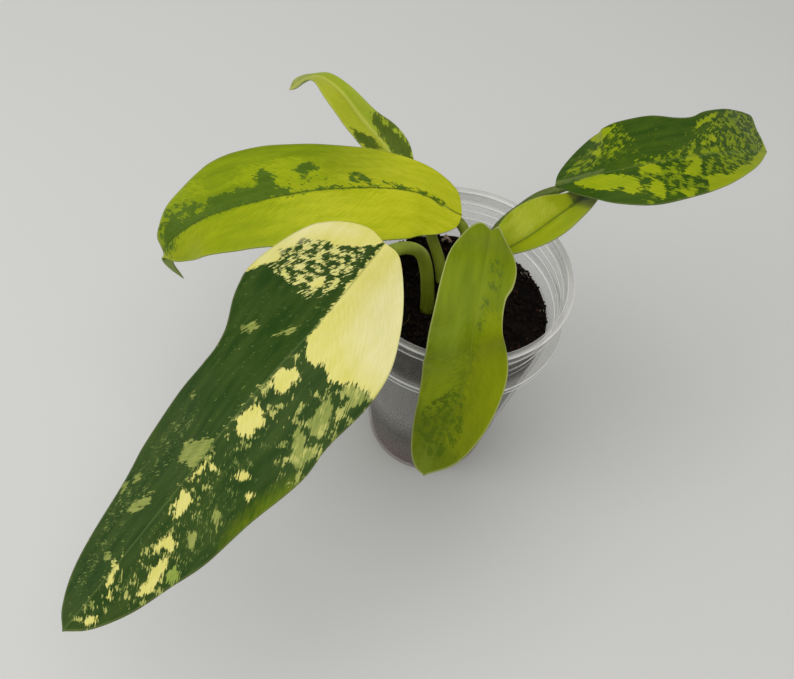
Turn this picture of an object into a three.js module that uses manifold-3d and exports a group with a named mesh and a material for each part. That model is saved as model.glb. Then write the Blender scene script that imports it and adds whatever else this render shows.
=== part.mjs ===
// A young spadeleaf philodendron with variegated leaves, rooted in a ribbed see-through cup.
// Millimetres, +Z up. The origin is the middle of the cup's foot, and the longest leaf reaches
// towards -X and -Y.

import * as THREE from 'three';
import { mergeVertices } from 'three/addons/utils/BufferGeometryUtils.js';
import Module from 'manifold-3d';

const wasm = await Module();
wasm.setup();

// Driving dimensions of the cup
const CUP_HEIGHT = 95;
const RIM_RADIUS = 35.5;
const LIP_HEIGHT = 4;
const COLLAR_RADIUS = 34;
const STACKING_RING = { low: 75.5, high: 80.5, radius: 36.3 };
const FOOT_RADIUS = 23;
const WALL = 1;
const CUP_SIDES = 44;
const RIBS = { first: 22, pitch: 5.2, count: 10, depth: 0.35 };
const COLLAR_RINGS = { heights: [90, 86.5, 83], depth: 0.35, half: 0.9 };

// Driving dimensions of the potting mix and the stem
const MIX_TOP = 75;
const MIX_SIDES = 40;
const MIX_RINGS = 8;
const CRUMB_HEIGHT = 1.3;
const CLEARANCE = 0.3;
const STEM = { x: 0, y: 3, radius: 4.5, foot: 60, top: 87 };
const SEED = 7;

// Driving dimensions shared by all leaves
const BLADE_THICKNESS = 0.8;
const BLADE_ROWS = 15;
const BLADE_COLUMNS = 3;
const PETIOLE_SIDES = 7;
const STEPS_PER_POINT = 2;
const RIB_END = 0.82;
const RIB_TIP_RADIUS = 0.45;
const RIB_DEPTH = 0.25;
const ROW_CROWDING = 1.35;

// The leaves. `petiole` and `rib` are points in the plant's own frame: the petiole climbs from the stem
// to the blade, and the rib runs from the blade's base to its tip. `left` and `right` are the blade's
// margins, laid flat: distance along the rib, and distance out from it. `roll` turns the blade about its
// rib and `fold` lifts both halves, in degrees from base to tip. A negative fold lets them droop.
const LEAVES = [
  {
    name: 'leaf_front_left_cream',
    radius: 2.2,
    petiole: [[-7.8, -2.2, 70], [-8.4, -2.4, 80], [-10.2, -2.9, 93], [-12.6, -6.2, 104], [-17, -12.4, 111.3]],
    rib: [[-21.8, -16.6, 116], [-30.1, -48.2, 120], [-43.2, -73.1, 111], [-58.8, -93.4, 88], [-80.2, -121, 57]],
    roll: [-4, -4, -4, -4],
    fold: [-6, -12, -12, -8],
    right: [[0, 0], [-4.5, 8], [-3.2, 18], [4.5, 25.4], [20, 29], [39, 27.4], [53, 22], [63, 20.5],
      [79, 21.8], [94, 21], [107, 17.6], [131, 11.7], [141, 5.9], [144, 0]],
    left: [[0, 0], [1.5, 4.6], [6.3, 8.2], [16.8, 13.6], [28, 18.7], [36, 21.8], [45, 22.8], [56, 22.1],
      [66, 22.6], [81, 20], [98, 18.1], [110, 15], [124, 11.3], [136, 6], [144, 0]],
    wave: { height: 0.5, count: 3.5 },
  },
  {
    name: 'leaf_upper_left_lime',
    radius: 1.9,
    petiole: [[-1.7, 9.4, 78], [-1.2, 11.8, 88], [-1.2, 13.8, 96]],
    rib: [[-3.4, 15.6, 101], [-20.6, 15.2, 107], [-46.1, 4.2, 110], [-71.3, -3.2, 102.2], [-86, -5.6, 91.6],
      [-95.8, -7.6, 78.2], [-92.3, -4.3, 62.3]],
    roll: [0, 2, 6, 12, 22, 44, 60],
    fold: [-4, -8, -8, -4, 0, 0, 0],
    right: [[0, 0], [1.2, 5], [3.5, 9], [9, 12.2], [15.3, 15.7], [24.3, 19.8], [34, 20.8], [54, 20.3],
      [64.8, 20.3], [80, 18.5], [86.4, 16.1], [92.3, 12.6], [98, 9.8], [104, 6], [112, 3], [126, 0]],
    left: [[0, 0], [1, 6], [7, 13], [17, 17.3], [29.3, 18.7], [45.7, 18.5], [66, 15.5], [75.7, 14.5],
      [88.8, 12.1], [97, 9.7], [104, 7], [107.5, 4.4], [109.5, 1.8], [112, 0.9], [117, 0.8], [126, 0]],
    wave: { height: 0.3, count: 2 },
  },
  {
    name: 'leaf_back_small',
    radius: 1.9,
    petiole: [[-5, 7, 78], [-7.6, 10.2, 84.5], [-11.2, 12.6, 91], [-16.2, 18.2, 96.9]],
    rib: [[-22.9, 26.8, 98.3], [-32.5, 38.4, 100.5], [-43.4, 45.6, 105], [-52.5, 52, 109], [-61.4, 58.9, 108],
      [-68.7, 64, 102], [-75.6, 66.4, 94]],
    roll: [0, 0, 0, 5, 40],
    fold: [12, 10, 4],
    right: [[0, 0], [2, 3.6], [9.4, 6.2], [15.2, 7.8], [21.5, 8], [29.3, 5.9], [41, 4], [51, 3.4],
      [59, 2.4], [67, 2.8], [71, 2.6], [74, 0]],
    left: [[0, 0], [2, 3.4], [8.2, 6.8], [20.5, 8.4], [27, 8], [33, 7.5], [41, 7], [50.7, 4.3], [57, 3.8],
      [63, 3], [70, 1.2], [74, 0]],
    wave: { height: 0.3, count: 2 },
  },
  {
    name: 'leaf_right_marbled',
    radius: 1.8,
    petiole: [[4.1, 7.8, 79], [6, 15.5, 86.5], [9, 22.8, 92.6], [15, 28.4, 98], [19.6, 30.4, 102.5]],
    rib: [[23, 30.7, 107.5], [37.2, 30.5, 117.5], [52.7, 36.6, 121], [69, 47.6, 119], [82.9, 59.7, 114],
      [91.3, 67.5, 109]],
    roll: [0, -3, -6, -12, -16],
    fold: [-4, -7, -5, 0, 0],
    right: [[0, 0], [7.4, 5.9], [13.1, 9.2], [18.4, 12], [27.7, 14.6], [39.8, 14], [50, 12.3], [58, 10.4],
      [71.3, 6.6], [82.2, 1.9], [86.1, 0]],
    left: [[0, 0], [0, 5], [1.5, 11], [4.5, 18.5], [8, 23], [13, 23], [18, 21.4], [28, 21.4], [41.4, 20],
      [50, 16.4], [56, 15.4], [64, 16.8], [80, 17.4], [88, 16.6], [91.5, 15.2], [89, 10], [88, 5], [86.1, 0]],
    wave: { height: 0.3, count: 2.5 },
  },
  {
    name: 'leaf_right_channelled',
    radius: 1.5,
    petiole: [[6.6, 1.9, 80], [7.6, 1.6, 90], [8.8, 1.2, 98]],
    rib: [[11.2, 2, 104], [17.6, 5.4, 109], [25.3, 15.7, 110], [33.1, 31, 105.5], [40.2, 47.2, 99]],
    roll: [0, 0, 0],
    fold: [22, 18, 8],
    right: [[0, 0], [2, 4.2], [8.8, 6.6], [15.3, 7.3], [24.5, 6.2], [38.1, 4.4], [49.3, 2.4], [58.6, 0]],
    left: [[0, 0], [-0.5, 4.5], [2.6, 8.2], [7.8, 9], [13, 9], [20, 7.8], [26, 6], [33, 4.2], [46, 2.6],
      [58.6, 0]],
    wave: { height: 0.2, count: 1 },
  },
  {
    name: 'leaf_front_hanging',
    radius: 1.8,
    petiole: [[1.1, -3.5, 79], [2, -3.7, 90], [3.2, -1.4, 102], [4.6, 0.6, 111]],
    rib: [[5.9, -3.4, 116], [6.3, -18.7, 118.5], [7, -35.1, 111], [7.9, -42, 92], [3.2, -54.5, 60]],
    roll: [0, 0, 0, 0],
    fold: [-8, -8, -8, -8],
    right: [[0, 0], [-3.8, 3], [-0.5, 6.4], [10, 10], [20, 11.2], [34, 11.6], [55, 12.7], [70, 11.3],
      [78, 9.6], [85, 6.8], [88.5, 3.5], [89, 0]],
    left: [[0, 0], [-3.2, 2], [1, 4], [8.6, 7], [15, 8.5], [20.3, 8.3], [25, 6.9], [33, 7.6], [44, 11],
      [54, 11], [67, 10.1], [79.5, 6.9], [89, 0]],
    wave: { height: 0.4, count: 2 },
  },
];

const UP = new THREE.Vector3(0, 0, 1);

// Colours, as seen from a step away
const CUP_PLASTIC = { color: 0xb9bab8, roughness: 0.3, metalness: 0, transparent: true, opacity: 0.45 };
const MIX_BROWN = { color: 0x1e1612, roughness: 0.95, metalness: 0 };
const STEM_GREEN = { color: 0x7d8f2a, roughness: 0.5, metalness: 0 };
const LEAF_COLOURS = {
  leaf_front_left_cream: 0x55701f,
  leaf_upper_left_lime: 0x9aa81a,
  leaf_back_small: 0x93a02a,
  leaf_right_marbled: 0x4f6d14,
  leaf_right_channelled: 0x93a01c,
  leaf_front_hanging: 0x7c8c12,
};

const radians = THREE.MathUtils.degToRad;

function seededRandom(seed) {
  let state = seed;
  return () => {
    state = (state * 16807) % 2147483647;
    return state / 2147483647;
  };
}

// A smooth curve through points given as [x, y, z] or as flat [along, out] pairs
function smoothCurve(points) {
  const vectors = points.map(([x, y, z = 0]) => new THREE.Vector3(x, y, z));
  return new THREE.CatmullRomCurve3(vectors, false, 'catmullrom', 0.5);
}

// A smooth value through evenly spaced values, at t from 0 to 1
function smoothValue(values, t) {
  return smoothCurve(values.map((value) => [value, 0, 0])).getPoint(t).x;
}

// A closed solid from a geometry, with the vertices that share a place merged
function solid(geometry) {
  const bare = geometry.index ? geometry.toNonIndexed() : geometry.clone();
  bare.deleteAttribute('normal');
  bare.deleteAttribute('uv');
  const merged = mergeVertices(bare, 1e-4);
  const mesh = new wasm.Mesh({
    numProp: 3,
    vertProperties: new Float32Array(merged.attributes.position.array),
    triVerts: new Uint32Array(merged.index.array),
  });
  return new wasm.Manifold(mesh);
}

function geometryOf(manifold) {
  const mesh = manifold.getMesh();
  const geometry = new THREE.BufferGeometry();
  geometry.setAttribute('position', new THREE.BufferAttribute(new Float32Array(mesh.vertProperties), 3));
  geometry.setIndex(new THREE.BufferAttribute(new Uint32Array(mesh.triVerts), 1));
  geometry.computeVertexNormals();
  return geometry;
}

function indexedGeometry(points, triangles) {
  const geometry = new THREE.BufferGeometry();
  const positions = points.flatMap((point) => [point.x, point.y, point.z]);
  geometry.setAttribute('position', new THREE.Float32BufferAttribute(positions, 3));
  geometry.setIndex(triangles.flat());
  return geometry;
}

function part(name, geometry, material) {
  const mesh = new THREE.Mesh(geometry, new THREE.MeshStandardMaterial(material));
  mesh.name = name;
  return mesh;
}

// A round solid about +Z from a profile of [radius, height] pairs that starts and ends on the axis
function turned(profile, sides) {
  const points = profile.map(([radius, height]) => new THREE.Vector2(radius, height));
  return new THREE.LatheGeometry(points, sides).rotateX(Math.PI / 2);
}

// A round tube through the points, with its own radius at each and a flat cap at both ends
function taperedTube(points, radii, steps) {
  const curve = smoothCurve(points);
  const frames = curve.computeFrenetFrames(steps, false);
  const vertices = [];
  const triangles = [];
  for (let step = 0; step <= steps; step += 1) {
    const centre = curve.getPointAt(step / steps);
    const radius = smoothValue(radii, curve.getUtoTmapping(step / steps));
    for (let side = 0; side < PETIOLE_SIDES; side += 1) {
      const angle = (side / PETIOLE_SIDES) * 2 * Math.PI;
      const offset = frames.normals[step].clone().multiplyScalar(Math.cos(angle) * radius);
      offset.addScaledVector(frames.binormals[step], Math.sin(angle) * radius);
      vertices.push(centre.clone().add(offset));
    }
  }
  for (let step = 0; step < steps; step += 1) {
    for (let side = 0; side < PETIOLE_SIDES; side += 1) {
      const next = (side + 1) % PETIOLE_SIDES;
      const a = step * PETIOLE_SIDES + side;
      const b = step * PETIOLE_SIDES + next;
      triangles.push([a, b, b + PETIOLE_SIDES], [a, b + PETIOLE_SIDES, a + PETIOLE_SIDES]);
    }
  }
  const last = steps * PETIOLE_SIDES;
  for (let side = 1; side < PETIOLE_SIDES - 1; side += 1) {
    triangles.push([0, side + 1, side], [last, last + side, last + side + 1]);
  }
  return indexedGeometry(vertices, triangles);
}

// The blade's flat plane bent along the rib: `along` and `out` in millimetres, `out` positive to the right
function bladeShape(leaf) {
  const rib = smoothCurve(leaf.rib);
  const length = rib.getLength();
  return (along, out) => {
    const t = THREE.MathUtils.clamp(along / length, 0, 1);
    const tangent = rib.getTangentAt(t);
    const point = rib.getPointAt(t).addScaledVector(tangent, along - t * length);
    const level = UP.clone().addScaledVector(tangent, -UP.dot(tangent)).normalize();
    const side = tangent.clone().cross(level);
    const roll = radians(smoothValue(leaf.roll, t));
    const right = side.clone().multiplyScalar(Math.cos(roll)).addScaledVector(level, Math.sin(roll));
    const normal = level.clone().multiplyScalar(Math.cos(roll)).addScaledVector(side, -Math.sin(roll));
    const fold = radians(smoothValue(leaf.fold, t));
    point.addScaledVector(right, out * Math.cos(fold));
    point.addScaledVector(normal, Math.abs(out) * Math.sin(fold));
    return { point, normal, right, fold };
  };
}

// Upper-face points and their normals, row by row from the base to the tip and from left to right
function bladeRows(leaf) {
  const shape = bladeShape(leaf);
  const length = smoothCurve(leaf.rib).getLength();
  const margins = { left: smoothCurve(leaf.left), right: smoothCurve(leaf.right) };
  const rows = [];
  for (let row = 0; row <= BLADE_ROWS; row += 1) {
    const u = row / BLADE_ROWS;
    const centre = length * u ** ROW_CROWDING;
    const points = [];
    for (let column = -BLADE_COLUMNS; column <= BLADE_COLUMNS; column += 1) {
      const v = Math.abs(column) / BLADE_COLUMNS;
      const hand = Math.sign(column);
      const margin = (hand < 0 ? margins.left : margins.right).getPointAt(u);
      const along = THREE.MathUtils.lerp(centre, margin.x, v);
      const { point, normal, right, fold } = shape(along, hand * v * margin.y);
      const face = normal.clone().multiplyScalar(Math.cos(fold));
      face.addScaledVector(right, -hand * Math.sin(fold)).normalize();
      const ripple = leaf.wave.height * Math.sin(2 * Math.PI * leaf.wave.count * u + hand);
      point.addScaledVector(face, ripple * v * v * Math.sin(Math.PI * u));
      points.push({ point, face });
    }
    rows.push(points);
  }
  return rows;
}

// A thin closed sheet: the rows above, the same rows one thickness below, and a strip around the margin
function bladeSolid(leaf) {
  const rows = bladeRows(leaf);
  const width = 2 * BLADE_COLUMNS + 1;
  const count = BLADE_ROWS + 1;
  const top = rows.flat().map(({ point }) => point);
  const bottom = rows.flat().map(({ point, face }) => point.clone().addScaledVector(face, -BLADE_THICKNESS));
  const under = count * width;
  // The first and the last row are single points
  const index = (row, column) => {
    const end = row === 0 || row === BLADE_ROWS;
    return row * width + (end ? BLADE_COLUMNS : column);
  };
  const triangles = [];
  const face = (a, b, c) => {
    if (a !== b && b !== c && c !== a) {
      triangles.push([a, b, c], [a + under, c + under, b + under]);
    }
  };
  for (let row = 0; row < BLADE_ROWS; row += 1) {
    for (let column = 0; column < width - 1; column += 1) {
      const a = index(row, column);
      const b = index(row, column + 1);
      const c = index(row + 1, column + 1);
      const d = index(row + 1, column);
      face(a, b, c);
      face(a, c, d);
    }
    for (const [column, flip] of [[0, true], [width - 1, false]]) {
      const a = index(row, column);
      const b = index(row + 1, column);
      const wall = [[a, a + under, b + under], [a, b + under, b]];
      triangles.push(...(flip ? wall.map(([p, q, r]) => [p, r, q]) : wall));
    }
  }
  return solid(indexedGeometry([...top, ...bottom], triangles));
}

// One leaf: its petiole, running on as the rib under the blade, joined to the blade
function leafPart(leaf) {
  const shape = bladeShape(leaf);
  const length = smoothCurve(leaf.rib).getLength();
  const points = leaf.petiole.map((point) => [...point]);
  const radii = leaf.petiole.map(() => leaf.radius);
  for (const share of [0.05, 0.2, 0.4, 0.6, RIB_END]) {
    const radius = THREE.MathUtils.lerp(leaf.radius * 0.8, RIB_TIP_RADIUS, share / RIB_END);
    const { point, normal } = shape(share * length, 0);
    point.addScaledVector(normal, -radius - RIB_DEPTH);
    points.push(point.toArray());
    radii.push(radius);
  }
  const stalk = solid(taperedTube(points, radii, STEPS_PER_POINT * points.length));
  const geometry = geometryOf(stalk.add(bladeSolid(leaf)));
  return part(leaf.name, geometry, { color: LEAF_COLOURS[leaf.name], roughness: 0.42, metalness: 0 });
}

// The radius of the straight tapering wall below the stacking ring
function wallRadius(height) {
  const top = COLLAR_RADIUS - 1.2;
  return FOOT_RADIUS + (top - FOOT_RADIUS) * (height / STACKING_RING.low);
}

function cup() {
  const { low, high, radius } = STACKING_RING;
  const profile = [[0, 0], [FOOT_RADIUS - 1, 0], [FOOT_RADIUS, 1]];
  for (let rib = 0; rib < RIBS.count; rib += 1) {
    const height = RIBS.first + rib * RIBS.pitch;
    profile.push([wallRadius(height), height]);
    profile.push([wallRadius(height + RIBS.pitch / 2) + RIBS.depth, height + RIBS.pitch / 2]);
  }
  profile.push(
    [wallRadius(low), low - 0.8],
    [radius, low],
    [radius, low + 1.5],
    [radius - 0.8, high - 0.8],
    [COLLAR_RADIUS + 0.4, high],
    [COLLAR_RADIUS, CUP_HEIGHT - LIP_HEIGHT],
    [RIM_RADIUS, CUP_HEIGHT - LIP_HEIGHT + 0.6],
    [RIM_RADIUS, CUP_HEIGHT - 0.8],
    [RIM_RADIUS - 0.8, CUP_HEIGHT],
    [COLLAR_RADIUS - WALL + 0.4, CUP_HEIGHT],
    [COLLAR_RADIUS - WALL, CUP_HEIGHT - 1],
  );
  for (const height of COLLAR_RINGS.heights) {
    profile.push(
      [COLLAR_RADIUS - WALL, height + COLLAR_RINGS.half],
      [COLLAR_RADIUS - WALL - COLLAR_RINGS.depth, height],
      [COLLAR_RADIUS - WALL, height - COLLAR_RINGS.half],
    );
  }
  profile.push([COLLAR_RADIUS - WALL, high], [wallRadius(low) - WALL, low], [FOOT_RADIUS - WALL, WALL], [0, WALL]);
  return part('cup', geometryOf(solid(turned(profile, CUP_SIDES))), CUP_PLASTIC);
}

// The potting mix fills the cup to its crumbled top, which rises and falls by a seeded draw
function mixBody() {
  const random = seededRandom(SEED);
  const floor = WALL + CLEARANCE;
  const gap = WALL + CLEARANCE + 0.2;
  const rims = [[FOOT_RADIUS - gap, floor], [wallRadius(MIX_TOP - CRUMB_HEIGHT) - gap, MIX_TOP - CRUMB_HEIGHT]];
  const vertices = [new THREE.Vector3(0, 0, floor)];
  for (const [radius, height] of rims) {
    for (let side = 0; side < MIX_SIDES; side += 1) {
      const angle = (side / MIX_SIDES) * 2 * Math.PI;
      vertices.push(new THREE.Vector3(radius * Math.cos(angle), radius * Math.sin(angle), height));
    }
  }
  const edge = rims[1][0];
  for (let ring = MIX_RINGS - 1; ring >= 1; ring -= 1) {
    for (let side = 0; side < MIX_SIDES; side += 1) {
      const angle = ((side + 0.6 * (random() - 0.5)) / MIX_SIDES) * 2 * Math.PI;
      const radius = (edge * (ring + 0.5 * (random() - 0.5))) / MIX_RINGS;
      const height = MIX_TOP + CRUMB_HEIGHT * (2 * random() - 1);
      vertices.push(new THREE.Vector3(radius * Math.cos(angle), radius * Math.sin(angle), height));
    }
  }
  vertices.push(new THREE.Vector3(0, 0, MIX_TOP));
  const last = vertices.length - 1;
  const bands = rims.length + MIX_RINGS - 1;
  const triangles = [];
  for (let side = 0; side < MIX_SIDES; side += 1) {
    const next = (side + 1) % MIX_SIDES;
    triangles.push([0, 1 + next, 1 + side]);
    for (let band = 0; band < bands - 1; band += 1) {
      const a = 1 + band * MIX_SIDES + side;
      const b = 1 + band * MIX_SIDES + next;
      triangles.push([a, b, b + MIX_SIDES], [a, b + MIX_SIDES, a + MIX_SIDES]);
    }
    const inner = 1 + (bands - 1) * MIX_SIDES;
    triangles.push([inner + side, inner + next, last]);
  }
  return solid(indexedGeometry(vertices, triangles));
}

// A plain upright hole for a stem or a petiole
function hole(x, y, radius, foot) {
  const height = MIX_TOP + 4 * CRUMB_HEIGHT - foot;
  const geometry = new THREE.CylinderGeometry(radius, radius, height, 16).rotateX(Math.PI / 2);
  return solid(geometry.translate(x, y, foot + height / 2));
}

function pottingMix() {
  const [buried] = LEAVES;
  const [x, y, foot] = buried.petiole[0];
  const stemHole = hole(STEM.x, STEM.y, STEM.radius + 1.5 * CLEARANCE, STEM.foot - CLEARANCE);
  const petioleHole = hole(x - 0.2, y - 0.35, buried.radius + 3 * CLEARANCE, foot - 2 * CLEARANCE);
  return part('potting_mix', geometryOf(mixBody().subtract(stemHole).subtract(petioleHole)), MIX_BROWN);
}

// The short stem, a little swollen at its nodes
function stem() {
  const { radius, foot, top } = STEM;
  const profile = [
    [0, foot],
    [radius * 0.8, foot],
    [radius * 0.95, foot + 6],
    [radius, foot + 12],
    [radius * 0.93, foot + 16],
    [radius, foot + 19],
    [radius * 0.9, top - 4],
    [radius * 0.6, top - 1],
    [0, top],
  ];
  const geometry = geometryOf(solid(turned(profile, 14)));
  const mesh = part('stem', geometry, STEM_GREEN);
  mesh.position.set(STEM.x, STEM.y, 0);
  return mesh;
}

const group = new THREE.Group();
group.name = 'potted_spadeleaf_philodendron';
group.add(cup(), pottingMix(), stem(), ...LEAVES.map(leafPart));

export default group;
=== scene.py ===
# %% [markdown]
# A young spadeleaf philodendron in a see-through cup. Six long leaves stand on a short stem, and no two
# are marked alike: one is half cream, some are lime, one is marbled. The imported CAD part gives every
# piece its place and size, and this lesson gives the pieces their skin, colour and gloss.

# %% Load the frame
import math

import bmesh
import bpy
import numpy as np
from mathutils import Matrix, Quaternion, Vector


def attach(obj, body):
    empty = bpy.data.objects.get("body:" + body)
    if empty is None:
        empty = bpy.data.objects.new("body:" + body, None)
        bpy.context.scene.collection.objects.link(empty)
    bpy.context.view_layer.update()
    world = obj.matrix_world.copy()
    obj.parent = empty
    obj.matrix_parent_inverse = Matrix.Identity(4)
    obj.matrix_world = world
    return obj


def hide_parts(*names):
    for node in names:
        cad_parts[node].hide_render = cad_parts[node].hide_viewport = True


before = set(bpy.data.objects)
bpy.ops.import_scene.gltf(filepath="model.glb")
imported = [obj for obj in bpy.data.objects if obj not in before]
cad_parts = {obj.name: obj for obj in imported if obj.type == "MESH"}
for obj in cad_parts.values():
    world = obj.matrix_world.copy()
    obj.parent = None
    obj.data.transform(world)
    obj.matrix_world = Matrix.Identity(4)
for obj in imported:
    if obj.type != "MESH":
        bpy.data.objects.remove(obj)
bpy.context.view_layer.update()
MM = 0.001
print("CAD nodes:", sorted(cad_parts))

# %% [markdown]
# The camera first. The photograph looks down on the cup's rim from the front, a little rolled, and the
# rim isn't in the middle of the picture. So the camera is aimed at the rim, rolled, and then turned aside
# until the rim's centre falls on its pixel. The plain view transform shows the finishes' colours as set.

# %% Camera
PHOTO_WIDTH, PHOTO_HEIGHT = 794, 679
FOCAL_PIXELS = 760
RIM_CENTRE_PIXEL = (461.4, 266.4)
RIM_CENTRE = Vector((0, 0, 0.095))
VIEW_ELEVATION = math.radians(48.1)
VIEW_ROLL = math.radians(12.8)
VIEW_DISTANCE = 0.2352
SENSOR_WIDTH = 36


def place_camera():
    forward = Vector((0, math.cos(VIEW_ELEVATION), -math.sin(VIEW_ELEVATION)))
    right = Vector((1, 0, 0))
    rolled = Matrix.Rotation(VIEW_ROLL, 3, "Z") @ Matrix((right, forward.cross(right), forward))
    u, v = RIM_CENTRE_PIXEL
    towards_rim = Vector(((u - PHOTO_WIDTH / 2) / FOCAL_PIXELS, (v - PHOTO_HEIGHT / 2) / FOCAL_PIXELS, 1))
    aside = Vector((0, 0, 1)).rotation_difference(towards_rim).to_matrix()
    across, down, ahead = aside @ rolled
    data = bpy.data.cameras.new("photo_camera")
    data.sensor_width = SENSOR_WIDTH
    data.lens = SENSOR_WIDTH * FOCAL_PIXELS / PHOTO_WIDTH
    camera = bpy.data.objects.new("photo_camera", data)
    bpy.context.collection.objects.link(camera)
    turn = Matrix((across, -down, -ahead)).transposed()
    camera.matrix_world = Matrix.Translation(RIM_CENTRE - forward * VIEW_DISTANCE) @ turn.to_4x4()
    return camera


bpy.context.scene.camera = place_camera()
bpy.context.scene.view_settings.view_transform = "Standard"
print("lens:", round(bpy.context.scene.camera.data.lens, 2), "mm")

# %% [markdown]
# Every large piece here is a skin over a stack of rings: a leaf's ring runs over the upper face and back
# under the lower one, a petiole's ring is its section, and the cup's and the mix's rings are circles. One
# function turns such a stack into a closed mesh, with a single point at each end.


# %% Rings to a closed mesh
def outward(vertices, triangles):
    """True if the faces look outwards: the sum of the signed volumes under the triangles is positive."""
    a, b, c = (vertices[triangles[:, k]] for k in range(3))
    return np.einsum("ij,ij->i", a, np.cross(b, c)).sum() > 0


def new_piece(name, vertices, faces):
    mesh = bpy.data.meshes.new(name)
    mesh.from_pydata(vertices, [], faces)
    piece = bpy.data.objects.new(name, mesh)
    bpy.context.collection.objects.link(piece)
    return piece


def ring_skin(name, rings, start, end):
    """Closed skin: each ring point is joined to the next ring and the next point round, and both ends fan
    out from a single point."""
    rows, columns = rings.shape[:2]
    vertices = np.vstack([rings.reshape(-1, 3), start, end])
    here = np.arange(columns)
    there = (here + 1) % columns
    row = columns * np.arange(rows - 1)[:, None]
    quads = np.stack([row + here, row + there, row + there + columns, row + here + columns], -1).reshape(-1, 4)
    last = (rows - 1) * columns
    pole = np.full(columns, rows * columns)
    fans = np.vstack([np.stack([pole, there, here], -1), np.stack([pole + 1, here + last, there + last], -1)])
    if not outward(vertices, np.vstack([quads[:, :3], quads[:, [0, 2, 3]], fans])):
        quads, fans = quads[:, ::-1], fans[:, ::-1]
    piece = new_piece(name, vertices.tolist(), quads.tolist() + fans.tolist())
    piece.data.shade_smooth()
    return piece


def level_rings(radius, height, columns):
    """A circle of points at each height; the radius may be a number for each ring or for each point."""
    angle = np.linspace(0, 2 * np.pi, columns, endpoint=False)
    radius = radius.reshape(len(height), -1)
    level = height[:, None] * np.ones(columns)
    return np.stack([radius * np.cos(angle), radius * np.sin(angle), level], -1)


def point_layer(piece, name, values):
    """A number for each vertex, which a material reads by name."""
    piece.data.attributes.new(name, "FLOAT", "POINT").data.foreach_set("value", np.ravel(values).astype("f"))


def map_layer(piece, name, pairs):
    """A pair of numbers for each vertex, handed to every face corner that uses it."""
    mesh = piece.data
    corner = np.empty(len(mesh.loops), dtype=np.int32)
    mesh.loops.foreach_get("vertex_index", corner)
    mesh.uv_layers.new(name=name).data.foreach_set("uv", pairs[corner].astype("f").ravel())


def settle(piece, material, node):
    """Gives a piece its material and its body, hides the CAD node that it stands for and prints its face count."""
    piece.data.materials.append(material)
    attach(piece, "root")
    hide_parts(node)
    print(piece.name, "faces:", len(piece.data.polygons))


# %% [markdown]
# Materials are written as sums. A small class holds one socket of a node tree, and adding or multiplying
# two of them adds the Math node that does it, so a leaf's pattern reads like the rule that it follows.

# %% Shader arithmetic
MILLIMETRES = (1000, 1000, 1000)


class Wire:
    """One socket of a material's node tree."""

    def __init__(self, tree, socket=None):
        self.tree = tree
        self.socket = socket

    def node(self, kind, settings=(), inputs=(), output=0):
        """Adds a node: its settings first, then a value or a link for each socket."""
        new = self.tree.nodes.new(kind)
        for name, value in dict(settings).items():
            setattr(new, name, value)
        for name, value in dict(inputs).items():
            if isinstance(value, Wire):
                self.tree.links.new(value.socket, new.inputs[name])
            else:
                new.inputs[name].default_value = value
        return Wire(self.tree, new.outputs[output])

    def math(self, operation, *others, clamp=False):
        inputs = dict(enumerate((self, *others)))
        return self.node("ShaderNodeMath", {"operation": operation, "use_clamp": clamp}, inputs)

    def __add__(self, other):
        return self.math("ADD", other)

    def __sub__(self, other):
        return self.math("SUBTRACT", other)

    def __rsub__(self, other):
        return (self * -1) + other

    def __mul__(self, other):
        return self.math("MULTIPLY", other)

    __radd__ = __add__
    __rmul__ = __mul__

    def clamped(self):
        return self.math("ADD", 0, clamp=True)

    def above(self, edge, width):
        """0 below the edge and 1 above it, changing evenly over the width."""
        return ((self - edge) * (1 / width) + 0.5).clamped()

    def line(self, centre, thinness):
        """1 at the centre, falling evenly to 0 at a distance of 1 / thinness on both sides."""
        return (1 - (self - centre).math("ABSOLUTE") * thinness).clamped()

    def layer(self, name):
        return self.node("ShaderNodeAttribute", {"attribute_name": name}, output="Fac")

    def map(self, name, scale):
        """A piece's own map, stretched by a scale for each direction."""
        uv = self.node("ShaderNodeUVMap", {"uv_map": name})
        return self.node("ShaderNodeMapping", inputs={"Vector": uv, "Scale": (*scale, 1)})

    def place(self, scale):
        where = self.node("ShaderNodeTexCoord", output="Object")
        return self.node("ShaderNodeMapping", inputs={"Vector": where, "Scale": scale})

    def part(self, axis):
        """One coordinate of a vector, counted from 0."""
        return self.node("ShaderNodeSeparateXYZ", inputs={0: self}, output=axis)

    def noise(self, where, detail=3, roughness=0.55):
        inputs = {"Vector": where, "Scale": 1, "Detail": detail, "Roughness": roughness}
        return self.node("ShaderNodeTexNoise", inputs=inputs)

    def blend(self, amount, low, high):
        """The low colour where the amount is 0 and the high one where it is 1."""
        low, high = (value if isinstance(value, Wire) else (*value, 1) for value in (low, high))
        return self.node("ShaderNodeMix", {"data_type": "RGBA"}, {0: amount, 6: low, 7: high}, output=2)

    def bump(self, height, distance, strength):
        inputs = {"Height": height, "Distance": distance, "Strength": strength}
        return self.node("ShaderNodeBump", inputs=inputs)


def material(name, paint):
    """A new material whose paint function returns the values and links of the surface shader."""
    new = bpy.data.materials.new(name)
    new.use_nodes = True
    surface = new.node_tree.nodes["Principled BSDF"]
    for socket, value in paint(Wire(new.node_tree)).items():
        if isinstance(value, Wire):
            new.node_tree.links.new(value.socket, surface.inputs[socket])
        else:
            surface.inputs[socket].default_value = value
    return new


# %% [markdown]
# A leaf is worked out flat and then bent, as if it were cut from a sheet. Its rib is a smooth curve in
# space, its two margins are smooth curves in the flat sheet, and each row of the surface follows a side
# vein: it leaves the rib and swings towards the tip. The same numbers shape the CAD part's leaves.

# %% Smooth curves
CURVE_STEPS = 600


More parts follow.
